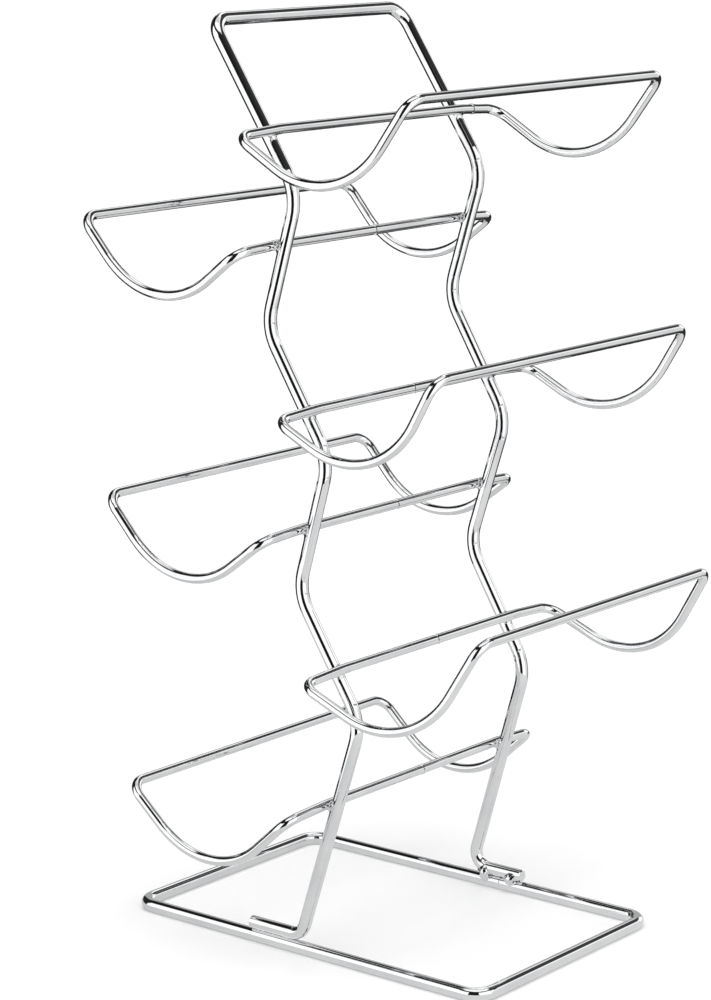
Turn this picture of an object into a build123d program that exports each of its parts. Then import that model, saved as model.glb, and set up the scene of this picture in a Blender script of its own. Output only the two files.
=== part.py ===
"""Countertop wine rack of bent round wire.

A zigzag upright of thick wire stands on a rectangular base loop. A bottle cradle, one closed loop
of thinner wire, is welded to each of its six runs, by turns on the right and on the left.
X runs across the rack, Y along the bottles with the necks at -Y, Z up.
"""
from build123d import *
from math import cos, radians, sin
import os

# Wire
FRAME_WIRE = 6.4
CRADLE_WIRE = 4.8

# Base loop, measured between wire centres
BASE_WIDTH = 218.0
BASE_DEPTH = 139.0
BASE_BEND = 10.0
BASE_SEAM_X = 18.5

# Upright: two equal zigzag legs, joined at the top by the carrying handle
RUN_LENGTHS = [118.6, 70.0, 70.0, 70.0, 67.0, 93.6]
KINK = 24.4
TOP_KINK = 26.6
LEAN = 7.1
LEG_BEND = 24.0
HANDLE_BEND = 10.0
FOOT_LENGTH = 32.5
FOOT_BEND = 8.0
FOOT_CHAMFER = 0.5
FOOT_GAP = 0.05
# Half the distance between the legs at the foot, at each bend going up, and at the handle
LEG_SPREAD = [69.5, 66.7, 67.9, 70.0, 70.6, 71.3, 70.9]

# Cradle: a loop with a dip at each end, seen along Y in its own tilted frame
CRADLE_LENGTH = 198.0
DIP_LENGTH = 197.0
DIP_DEPTH = 46.0
DIP_RADIUS = 46.5
CORNER_BEND = 8.5
END_DROOP = 1.5
DROOP_Y = 69.5
DROOP_BEND = 60.0
WELD_GAP = 0.1

# Each cradle, from the top down, all bent and set by hand: distance along its run from the
# upper bend, outward tilt, width, length of its outer side, and how far back its seam is
CRADLE_PLACES = [
    (62.5, 11.0, 102.0, 197.5, 79.0),
    (27.5, 5.5, 97.5, 200.0, 2.5),
    (46.0, 16.0, 98.0, 201.5, 4.0),
    (38.5, 5.0, 99.5, 199.0, 2.5),
    (43.0, 18.0, 105.5, 187.0, 4.5),
    (47.0, -0.5, 100.5, 200.5, 6.0),
]

# Seam flash and weld beads
SEAM_RISE = 0.25
SEAM_WIDTH = 1.6
BEAD_RADIUS = 3.8
BEAD_CORE = 1.6
FOOT_BEAD = (3.1, 2.4, 3.8)
FOOT_BEAD_INSET = 3.0
FOOT_BEAD_RISE = 0.9
FOOT_BEAD_X = (10.0, 26.5)

FOOT_Y = BASE_DEPTH / 2
BASE_Z = FRAME_WIRE / 2
FOOT_Z = BASE_Z + FRAME_WIRE + FOOT_GAP


def run_direction(run):
    """Unit vector up a leg's run, counted from the foot, as X and Z."""
    kink = TOP_KINK if run == len(RUN_LENGTHS) - 1 else KINK
    tilt = radians((kink if run % 2 == 0 else -kink) - LEAN)
    return sin(tilt), cos(tilt)


def leg_points():
    """Sharp corners of one leg in XZ, from the foot up to the handle."""
    points = [(0.0, FOOT_Z)]
    for run, length in enumerate(RUN_LENGTHS):
        dx, dz = run_direction(run)
        x, z = points[-1]
        points.append((x + length * dx, z + length * dz))
    return points


def leg_spread(height):
    """Half the distance between the legs at a height."""
    corners = list(zip(leg_points(), LEG_SPREAD))
    for ((_, z_low), low), ((_, z_high), high) in zip(corners, corners[1:]):
        if height <= z_high:
            return low + (high - low) * (height - z_low) / (z_high - z_low)
    return LEG_SPREAD[-1]


def swept(path, diameter):
    """Round wire along a path of lines and tangent arcs."""
    section = Plane(origin=path @ 0, z_dir=path % 0) * Circle(diameter / 2)
    return Solid(sweep(section, path=path).wrapped)


def seam(centre, axis, diameter):
    """Low ring of flash where the two ends of a loop are butt welded."""
    ring = Cylinder(diameter / 2 + SEAM_RISE, SEAM_WIDTH)
    return Plane(origin=centre, z_dir=axis) * ring


def base_loop():
    """Rectangular loop that lies on the table."""
    x, y = BASE_WIDTH / 2, BASE_DEPTH / 2
    corners = [(x, y), (x, -y), (-x, -y), (-x, y)]
    points = [(BASE_SEAM_X, y), *corners, (BASE_SEAM_X, y)]
    bends = [0, *[BASE_BEND] * len(corners)]
    path = FilletPolyline(*[Vector(px, py, BASE_Z) for px, py in points], radius=bends)
    flash = seam((BASE_SEAM_X, y, BASE_Z), (1, 0, 0), FRAME_WIRE)
    ground_flush = Pos(BASE_SEAM_X, y, BASE_Z) * Box(2 * SEAM_WIDTH, 2 * FRAME_WIRE, FRAME_WIRE)
    return swept(path, FRAME_WIRE) + (flash & ground_flush)


def upright():
    """Front foot, front leg, handle, rear leg and rear foot, bent from one wire."""
    leg = [(x, y, z) for (x, z), y in zip(leg_points(), LEG_SPREAD)]
    front = [(-FOOT_LENGTH, -FOOT_Y, FOOT_Z)] + [(x, -y, z) for x, y, z in leg]
    rear = leg[::-1] + [(FOOT_LENGTH, FOOT_Y, FOOT_Z)]
    kinks = [LEG_BEND] * (len(leg) - 2)
    bends = [FOOT_BEND, *kinks, HANDLE_BEND, HANDLE_BEND, *kinks, FOOT_BEND]
    wire = swept(FilletPolyline(*front, *rear, radius=bends), FRAME_WIRE)
    return chamfer(wire.faces().filter_by(GeomType.PLANE).edges(), FOOT_CHAMFER)


class Cradle:
    """Where one cradle sits: its run, its side, its weld line and its tilt."""

    def __init__(self, number):
        self.side = 1 if number % 2 else -1
        places = CRADLE_PLACES[number - 1]
        self.drop, self.tilt, self.width, self.outer_length, self.seam_y = places
        run = len(RUN_LENGTHS) - number
        top_x, top_z = leg_points()[run + 1]
        dx, dz = run_direction(run)
        self.normal = (self.side * dz, -self.side * dx)
        self.leg = (top_x - self.drop * dx, top_z - self.drop * dz)
        reach = (FRAME_WIRE + CRADLE_WIRE) / 2 + WELD_GAP
        self.weld = self.offset(reach)

    def offset(self, distance):
        """Point at a distance out from the leg's centre line, in XZ."""
        return tuple(p + distance * n for p, n in zip(self.leg, self.normal))

    def place(self, u, v, y):
        """Point of the cradle's own tilted frame, u outward and v up, in the rack's frame."""
        c, s = cos(radians(self.tilt)), sin(radians(self.tilt))
        return Vector(self.weld[0] + self.side * (u * c - v * s), y, self.weld[1] + u * s + v * c)

    def loop(self):
        """The bent wire itself, with its seam somewhere on the inner side."""
        inner, dip, outer = CRADLE_LENGTH / 2, DIP_LENGTH / 2, self.outer_length / 2
        apex = (self.width / 2, -DIP_DEPTH, dip)
        rear = [(0, 0, DROOP_Y), (0, -END_DROOP, inner), apex, (self.width, 0, outer)]
        front = [(u, v, -y) for u, v, y in reversed(rear)]
        bends = [DROOP_BEND, CORNER_BEND, DIP_RADIUS, CORNER_BEND]
        corners = list(zip(rear + front, bends + bends[::-1]))
        past_droop = max(0.0, self.seam_y - DROOP_Y)
        start = (0, -END_DROOP * past_droop / (inner - DROOP_Y), self.seam_y)
        if past_droop:
            corners = corners[1:] + corners[:1]
        points = [self.place(*point) for point in [start, *[c for c, _ in corners], start]]
        path = FilletPolyline(*points, radius=[0, *[bend for _, bend in corners]])
        return swept(path, CRADLE_WIRE) + seam(points[0], points[1] - points[0], CRADLE_WIRE)

    def bead(self, y, wires):
        """Weld metal round the place where the cradle crosses a leg, open at its core."""
        contact = self.offset((FRAME_WIRE + WELD_GAP) / 2)
        at = Vector(contact[0], y, contact[1])
        out = (self.normal[0], 0, self.normal[1])
        core = Plane(origin=at, z_dir=out) * Cylinder(BEAD_CORE, 4 * BEAD_RADIUS)
        return Pos(at) * Sphere(BEAD_RADIUS) - core - wires[0] - wires[1]


def foot_bead(x, side, wires):
    """Tack weld in the groove between a foot and the base wire, on the inside of the rack."""
    ball = scale(Sphere(1), by=FOOT_BEAD)
    height = BASE_Z + (FOOT_Z - BASE_Z) / 2 + FOOT_BEAD_RISE
    centre = (side * x, side * (FOOT_Y - FOOT_BEAD_INSET), height)
    return Pos(*centre) * ball - wires[0] - wires[1]


def build():
    """Every piece by name, with the origin under the middle of the rack's bounding box."""
    pieces = {"base_frame": base_loop(), "upright": upright()}
    for number in range(1, len(CRADLE_PLACES) + 1):
        cradle = Cradle(number)
        loop = cradle.loop()
        pieces[f"cradle_{number}"] = loop
        spread = leg_spread(cradle.leg[1])
        for name, y in (("front", -spread), ("rear", spread)):
            pieces[f"weld_{number}_{name}"] = cradle.bead(y, (pieces["upright"], loop))
    for name, side in (("front", -1), ("rear", 1)):
        for place, x in zip(("heel", "toe"), FOOT_BEAD_X):
            bead = foot_bead(x, side, (pieces["upright"], pieces["base_frame"]))
            pieces[f"foot_weld_{name}_{place}"] = bead
    box = Compound(children=[Compound(piece.wrapped) for piece in pieces.values()]).bounding_box()
    shift = Pos(-box.center().X, -box.center().Y, -box.min.Z)
    return {name: shift * piece for name, piece in pieces.items()}


os.makedirs("parts", exist_ok=True)
for name, piece in build().items():
    export_step(piece, f"parts/{name}.step")
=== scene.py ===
"""Looks of the countertop wine rack: chromed wire, weld beads, studio light and the camera."""
import math

import bmesh
import bpy
from mathutils import Matrix, Vector, noise


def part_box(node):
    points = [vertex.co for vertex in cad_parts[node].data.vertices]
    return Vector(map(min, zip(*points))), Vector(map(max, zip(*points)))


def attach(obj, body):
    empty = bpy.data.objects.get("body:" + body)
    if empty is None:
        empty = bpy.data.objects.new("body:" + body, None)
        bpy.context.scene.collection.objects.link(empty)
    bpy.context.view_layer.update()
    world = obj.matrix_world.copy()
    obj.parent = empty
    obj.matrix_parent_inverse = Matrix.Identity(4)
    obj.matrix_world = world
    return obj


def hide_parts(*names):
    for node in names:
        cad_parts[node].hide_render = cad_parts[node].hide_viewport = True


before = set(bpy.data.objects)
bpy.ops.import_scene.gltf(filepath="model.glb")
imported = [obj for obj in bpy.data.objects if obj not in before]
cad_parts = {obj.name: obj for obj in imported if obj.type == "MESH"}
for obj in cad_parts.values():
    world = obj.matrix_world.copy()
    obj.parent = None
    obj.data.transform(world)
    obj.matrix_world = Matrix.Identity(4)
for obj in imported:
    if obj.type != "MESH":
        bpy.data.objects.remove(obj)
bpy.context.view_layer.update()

MM = 0.001
FRAME_RADIUS = 3.2 * MM
CRADLE_RADIUS = 2.4 * MM
CRADLES = range(1, 7)

# Camera, placed from the middle of the base loop and turned by these degrees
CAMERA_OFFSET = Vector((916.3, -1151.4, 524.2)) * MM
CAMERA_YAW = 39.17
CAMERA_PITCH = 13.69
CAMERA_ROLL = 0.30
CAMERA_LENS = 109.8
CAMERA_SHIFT_Y = 0.1
CAMERA_FAR = 100.0

# Plating: bright and dull colour, best and worst roughness, depth of the ripple
WIRE_PLATING = ((0.88, 0.885, 0.89), (0.80, 0.81, 0.825), (0.02, 0.07), 0.004 * MM)
WELD_PLATING = ((0.84, 0.845, 0.85), (0.70, 0.71, 0.72), (0.05, 0.16), 0.03 * MM)
HAZE_SCALE = 38.0
RIPPLE_SCALE = 330.0
SPECKLE_SCALE = 1400.0
# Shares of haze and speckle in the roughness, of speckle in the ripple, and the noise values
# between which the colour and the roughness go from their best to their worst
HAZE_SHARE = 0.75
SPECKLE_SHARE = 0.25
SPECKLE_RELIEF = 0.06
DULLING = (0.35, 0.7)
ROUGHENING = (0.4, 0.68)

# Weld beads: how far a bead's skin lies inside the wires' surface, how uneven it is, how finely
# it is searched for along each ray, and for each kind its fillet, its reach and its grain
SINK = 0.05 * MM
LUMP = 0.16 * MM
MARCH_STEPS = 44
HALVINGS = 8
CROSSING_FILLET = 2.6 * MM
CROSSING_REACH = 4.6 * MM
CROSSING_GRAIN = 1.3 * MM
TACK_FILLET = 1.8 * MM
TACK_REACH = 5.0 * MM
TACK_GRAIN = 1.6 * MM
# Steps through the noise from one bead to the next, so that no two are alike
CRADLE_SEED = 7.3
REAR_SEED = 3.1
TACK_SEED = 31.0
SIDE_SEED = 1.7
PLACE_SEED = 2.9
# Gap between a foot and the base loop under it
FOOT_GAP = 0.05 * MM
# In millimetres: how far off the rays that look for a wire start, from the side and from close by,
# and half the height between the two that meet a leg
SIDE_START = 30
NEAR_START = 20
LEG_STEP = 4
# Each tack's breadth and height as shares of its CAD solid's, and its lean in degrees
TACKS = {"heel": (0.80, 0.98, 6.0), "toe": (1.0, 0.70, 32.0)}

# Floor and table in metres. The table glows though it is no lamp: its painted light goes from the first
# level to the second over its span in X, darker towards -X.
FLOOR_HALF = 30.0
FLOOR_GRAIN = 60.0
FLOOR_TONES = ((0.93, 0.93, 0.93, 1.0), (0.95, 0.95, 0.95, 1.0))
TABLE_RADIUS = 0.42
TABLE_DROP = 0.5 * MM
TABLE_SPAN = (-0.25, 0.35)
TABLE_GLOW_LEVELS = (0.64, 0.80)

# Overhead light, its spread and its tilt about X and Y in degrees
OVERHEAD_STRENGTH = 1.9
OVERHEAD_SPREAD = 70
OVERHEAD_TILT = (14, 10)

# White level of the studio, and its darker parts in degrees: middle azimuth, half width,
# lowest and highest elevation, softness, level. Each is laid over the ones before it.
WHITE = 1.22
GAPS = (
    (127.0, 28.0, -10.0, 31.0, 3.0, 0.42),
    (45.0, 26.0, -60.0, 20.0, 6.0, 0.76),
    (80.0, 28.0, -60.0, -22.0, 3.0, 0.15),
    (115.0, 42.0, -60.0, 0.0, 2.5, 0.03),
    (178.0, 30.0, -44.0, 64.0, 3.0, 0.02),
    (-61.0, 23.0, -60.0, 47.0, 2.0, 0.01),
    (-132.0, 62.0, 43.0, 61.0, 2.0, 0.01),
    (-40.0, 36.0, 44.0, 60.0, 2.5, 0.02),
    (22.0, 30.0, 45.0, 57.0, 2.5, 0.03),
    (38.0, 14.0, 37.0, 48.0, 2.5, 0.04),
    (74.0, 34.0, 28.0, 60.0, 3.0, 0.05),
    (145.0, 12.0, 33.0, 62.0, 3.0, 0.05),
    (120.0, 75.0, 66.0, 96.0, 5.0, 0.72),
)


# Node helpers ---------------------------------------------------------------------------------

class Tree:
    """Adds nodes to a node tree and links them, one call per node."""

    def __init__(self, tree):
        self.tree = tree
        tree.nodes.clear()

    def fill(self, node, key, value):
        """Link an output to an input, or set the input to a constant."""
        if isinstance(value, bpy.types.NodeSocket):
            self.tree.links.new(value, node.inputs[key])
        else:
            node.inputs[key].default_value = value

    def add(self, kind, inputs=None, **settings):
        node = self.tree.nodes.new(kind)
        for key, value in settings.items():
            setattr(node, key, value)
        for key, value in (inputs or {}).items():
            self.fill(node, key, value)
        return node

    def math(self, operation, a, b=None):
        inputs = {0: a} if b is None else {0: a, 1: b}
        return self.add("ShaderNodeMath", inputs, operation=operation).outputs[0]

    def noise(self, vector, scale, detail=3.0, roughness=0.5):
        inputs = {"Vector": vector, "Scale": scale, "Detail": detail, "Roughness": roughness}
        return self.add("ShaderNodeTexNoise", inputs).outputs["Fac"]

    def remap(self, value, low, high, to_low, to_high):
        inputs = {"Value": value, "From Min": low, "From Max": high, "To Min": to_low, "To Max": to_high}
        node = self.add("ShaderNodeMapRange", inputs, interpolation_type="SMOOTHSTEP", clamp=True)
        return node.outputs["Result"]

    def mix(self, factor, a, b):
        node = self.add("ShaderNodeMix", data_type="RGBA", clamp_factor=True)
        for key, value in ((0, factor), (6, a), (7, b)):
            self.fill(node, key, value)
        return node.outputs[2]


def plating(name, bright, dull, polish, waviness):
    """Chrome plate: polish is (best, worst) roughness, waviness the depth of its ripple in metres."""
    material = bpy.data.materials.new(name)
    material.use_nodes = True
    tree = Tree(material.node_tree)
    place = tree.add("ShaderNodeTexCoord").outputs["Object"]
    haze = tree.noise(place, HAZE_SCALE, 4.0, 0.6)
    speckle = tree.noise(place, SPECKLE_SCALE, 2.0)
    ripple = tree.noise(place, RIPPLE_SCALE, 2.0, 0.4)
    colour = tree.mix(tree.remap(haze, *DULLING, 0.0, 1.0), (*bright, 1.0), (*dull, 1.0))
    marks = tree.math("ADD", tree.math("MULTIPLY", haze, HAZE_SHARE),
                      tree.math("MULTIPLY", speckle, SPECKLE_SHARE))
    rough = tree.remap(marks, *ROUGHENING, *polish)
    relief = tree.math("ADD", ripple, tree.math("MULTIPLY", speckle, SPECKLE_RELIEF))
    bump = tree.add("ShaderNodeBump", {"Strength": 1.0, "Distance": waviness, "Height": relief})
    shader = tree.add("ShaderNodeBsdfPrincipled", {
        "Base Color": colour, "Roughness": rough, "Normal": bump.outputs[0], "Metallic": 1.0})
    tree.add("ShaderNodeOutputMaterial", {"Surface": shader.outputs[0]})
    return material


# Object ---------------------------------------------------------------------------------------

def cast(node, origin, direction):
    """First point of a CAD node that a ray meets."""
    hit, point, _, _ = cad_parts[node].ray_cast(origin, direction)
    if not hit:
        raise RuntimeError(f"no {node} along that ray")
    return point


def line_distance(point, origin, direction):
    """Distance from a point to an endless line, given one point of it and its unit direction."""
    away = point - origin
    return (away - away.dot(direction) * direction).length


def blend_union(a, b, width):
    """Distance to two solids joined by a fillet of about that width."""
    overlap = max(width - abs(a - b), 0.0) / width
    return min(a, b) - overlap * overlap * width / 4


def grown_bead(name, centre, distance, reach, node):
    """A closed skin grown from the centre out to where distance() turns positive."""
    mesh = bmesh.new()
    bmesh.ops.create_icosphere(mesh, subdivisions=5, radius=1.0)
    for vert in mesh.verts:
        ray = vert.co.normalized()
        inside, outside = 0.0, reach
        for step in range(1, MARCH_STEPS + 1):
            radius = reach * step / MARCH_STEPS
            if distance(centre + ray * radius) > 0:
                outside = radius
                break
            inside = radius
        for _ in range(HALVINGS):
            middle = (inside + outside) / 2
            if distance(centre + ray * middle) > 0:
                outside = middle
            else:
                inside = middle
        vert.co = centre + ray * outside
    data = bpy.data.meshes.new(name)
    mesh.to_mesh(data)
    mesh.free()
    data.shade_smooth()
    bead = bpy.data.objects.new(name, data)
    bpy.context.scene.collection.objects.link(bead)
    data.materials.append(weld_plate)
    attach(bead, "root")
    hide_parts(node)


def lumps(point, grain, seed):
    """Unevenness of a bead's skin at a point."""
    return LUMP * noise.noise(point / grain + Vector((seed, 0, 0)))


def crossing_bead(number, end):
    """Squeezed metal in the corners where a cradle crosses a leg."""
    node = f"weld_{number}_{end}"
    low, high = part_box(node)
    centre = (low + high) / 2
    side = 1 if number % 2 else -1
    away = Vector((-side * SIDE_START * MM, 0, 0))
    step = Vector((0, 0, LEG_STEP * MM))
    upper = cast("upright", centre + away + step, -away)
    lower = cast("upright", centre + away - step, -away)
    along = (upper - lower).normalized()
    out = Vector((side * along.z, 0, -side * along.x))
    leg = cast("upright", centre - out * NEAR_START * MM, out) + out * FRAME_RADIUS
    loop = cast(f"cradle_{number}", centre + out * NEAR_START * MM, -out) - out * CRADLE_RADIUS
    contact = leg + out * FRAME_RADIUS
    across = Vector((0, 1, 0))
    seed = number * CRADLE_SEED + (0 if end == "front" else REAR_SEED)

    def distance(point):
        wires = blend_union(line_distance(point, leg, along) - FRAME_RADIUS,
                            line_distance(point, loop, across) - CRADLE_RADIUS, CROSSING_FILLET)
        return wires + SINK + lumps(point, CROSSING_GRAIN, seed)

    grown_bead(f"bead_{number}_{end}", contact, distance, CROSSING_REACH, node)


def foot_bead(side, place):
    """A tack melted into the groove between a foot and the base loop."""
    node = f"foot_weld_{side}_{place}"
    low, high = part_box(node)
    centre = (low + high) / 2
    breadth, height, tilt = TACKS[place]
    half = Vector((high.x - low.x, high.y - low.y, high.z - low.z)) / 2
    half = Vector((half.x * breadth, half.y, half.z * height))
    outward = 1 if side == "rear" else -1
    turn = Matrix.Rotation(math.radians(tilt * outward), 3, "Y")
    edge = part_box("base_frame")[1 if side == "rear" else 0]
    base = Vector((centre.x, edge.y - outward * FRAME_RADIUS, FRAME_RADIUS))
    foot = base + Vector((0, 0, 2 * FRAME_RADIUS + FOOT_GAP))
    across = Vector((1, 0, 0))
    seed = TACK_SEED + len(side) * SIDE_SEED + len(place) * PLACE_SEED

    def distance(point):
        local = turn @ (point - centre)
        scaled = Vector((local.x / half.x, local.y / half.y, local.z / half.z))
        tack = (scaled.length - 1) * min(half)
        nearest = min(line_distance(point, base, across), line_distance(point, foot, across))
        skin = blend_union(tack, nearest - FRAME_RADIUS, TACK_FILLET)
        return skin + SINK + lumps(point, TACK_GRAIN, seed)

    grown_bead(f"tack_{side}_{place}", centre, distance, TACK_REACH, node)


frame_plate = plating("frame_chrome", *WIRE_PLATING)
cradle_plate = plating("cradle_chrome", *WIRE_PLATING)
weld_plate = plating("weld_chrome", *WELD_PLATING)

for name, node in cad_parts.items():
    plate = cradle_plate if name.startswith("cradle") else frame_plate
    node.data.materials.clear()
    node.data.materials.append(plate)

for number in CRADLES:
    for end in ("front", "rear"):
        crossing_bead(number, end)
for side in ("front", "rear"):
    for place in ("heel", "toe"):
        foot_bead(side, place)


# Studio ---------------------------------------------------------------------------------------

def floor():
    """Pale seamless floor, large enough to fill the view."""
    mesh = bmesh.new()
    bmesh.ops.create_grid(mesh, x_segments=4, y_segments=4, size=FLOOR_HALF)
    data = bpy.data.meshes.new("floor")
    mesh.to_mesh(data)
    mesh.free()
    ground = bpy.data.objects.new("floor", data)
    bpy.context.scene.collection.objects.link(ground)
    material = bpy.data.materials.new("floor_paint")
    material.use_nodes = True
    tree = Tree(material.node_tree)
    place = tree.add("ShaderNodeTexCoord").outputs["Object"]
    grain = tree.noise(place, FLOOR_GRAIN, 4.0)
    colour = tree.mix(grain, *FLOOR_TONES)
    shader = tree.add("ShaderNodeBsdfPrincipled", {"Base Color": colour, "Roughness": 0.9})
    shader.inputs["Specular IOR Level"].default_value = 0.1
    tree.add("ShaderNodeOutputMaterial", {"Surface": shader.outputs[0]})
    data.materials.append(material)
    ground.visible_glossy = False


floor()


def table_top():
    """Round table under the rack: the wires mirror it, and the dark studio beyond its edge. Hidden from
    the camera, it glows with painted light, darker towards -X, in place of a lit table top.
    """
    mesh = bmesh.new()
    bmesh.ops.create_circle(mesh, cap_ends=True, segments=96, radius=TABLE_RADIUS)
    data = bpy.data.meshes.new("table_top")
    mesh.to_mesh(data)
    mesh.free()
    top = bpy.data.objects.new("table_top", data)
    top.location.z = -TABLE_DROP
    top.visible_camera = False
    top.visible_diffuse = False
    top.visible_shadow = False
    bpy.context.scene.collection.objects.link(top)
    material = bpy.data.materials.new("table_glow")
    material.use_nodes = True
    tree = Tree(material.node_tree)
    place = tree.add("ShaderNodeTexCoord").outputs["Object"]
    across = tree.add("ShaderNodeSeparateXYZ", {0: place}).outputs[0]
    # Painted light: the table's glow runs darker towards -X, standing in for how the table is lit.
    level = tree.remap(across, *TABLE_SPAN, *TABLE_GLOW_LEVELS)
    shader = tree.add("ShaderNodeEmission", {"Color": level})
    tree.add("ShaderNodeOutputMaterial", {"Surface": shader.outputs[0]})
    data.materials.append(material)


table_top()


def studio_world():
    """White surround with dark gaps, which the wires show as their dark lines."""
    world = bpy.data.worlds.new("studio")
    bpy.context.scene.world = world
    world.use_nodes = True
    tree = Tree(world.node_tree)
    direction = tree.add("ShaderNodeTexCoord").outputs["Generated"]
    part = tree.add("ShaderNodeSeparateXYZ", {0: direction}).outputs
    azimuth = tree.math("MULTIPLY", tree.math("ARCTAN2", part[1], part[0]), 180 / math.pi)
    elevation = tree.math("MULTIPLY", tree.math("ARCSINE", part[2]), 180 / math.pi)
    level = WHITE
    for middle, half, low, high, soft, dark in GAPS:
        turned = tree.math("SUBTRACT", azimuth, middle)
        limits = {0: turned, 1: 180.0, 2: -180.0}
        wrapped = tree.add("ShaderNodeMath", limits, operation="WRAP").outputs[0]
        offset = tree.math("ABSOLUTE", wrapped)
        inside = tree.remap(offset, half - soft, half + soft, 1.0, 0.0)
        above = tree.remap(elevation, low - soft, low + soft, 0.0, 1.0)
        below = tree.remap(elevation, high - soft, high + soft, 1.0, 0.0)
        gap = tree.math("MULTIPLY", inside, tree.math("MULTIPLY", above, below))
        level = tree.math("ADD", tree.math("MULTIPLY", tree.math("SUBTRACT", 1.0, gap), level),
                          tree.math("MULTIPLY", gap, dark))
    seen = tree.add("ShaderNodeLightPath").outputs["Is Camera Ray"]
    shown = tree.math("MAXIMUM", level, seen)
    background = tree.add("ShaderNodeBackground", {"Color": shown, "Strength": 1.0})
    tree.add("ShaderNodeOutputWorld", {"Surface": background.outputs[0]})


studio_world()


def overhead_light():
    """Broad soft light from above, which evens the floor and shades it softly."""
    data = bpy.data.lights.new("overhead", "SUN")
    data.angle = math.radians(OVERHEAD_SPREAD)
    data.energy = OVERHEAD_STRENGTH
    lamp = bpy.data.objects.new("overhead", data)
    lamp.rotation_euler = (*map(math.radians, OVERHEAD_TILT), 0)
    lamp.visible_glossy = False
    bpy.context.scene.collection.objects.link(lamp)


overhead_light()


def camera():
    """The view down on the rack from its right front."""
    base_low, base_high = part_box("base_frame")
    middle = (base_low + base_high) / 2
    data = bpy.data.cameras.new("camera")
    data.lens = CAMERA_LENS
    data.shift_y = CAMERA_SHIFT_Y
    data.clip_end = CAMERA_FAR
    view = bpy.data.objects.new("camera", data)
    turn = Matrix.Rotation(math.radians(CAMERA_YAW), 4, "Z")
    tilt = Matrix.Rotation(math.radians(90 - CAMERA_PITCH), 4, "X")
    roll = Matrix.Rotation(math.radians(-CAMERA_ROLL), 4, "Z")
    place = Vector((middle.x, middle.y, 0)) + CAMERA_OFFSET
    view.matrix_world = Matrix.Translation(place) @ turn @ tilt @ roll
    bpy.context.scene.collection.objects.link(view)
    bpy.context.scene.camera = view


camera()
bpy.context.scene.view_settings.view_transform = "Standard"
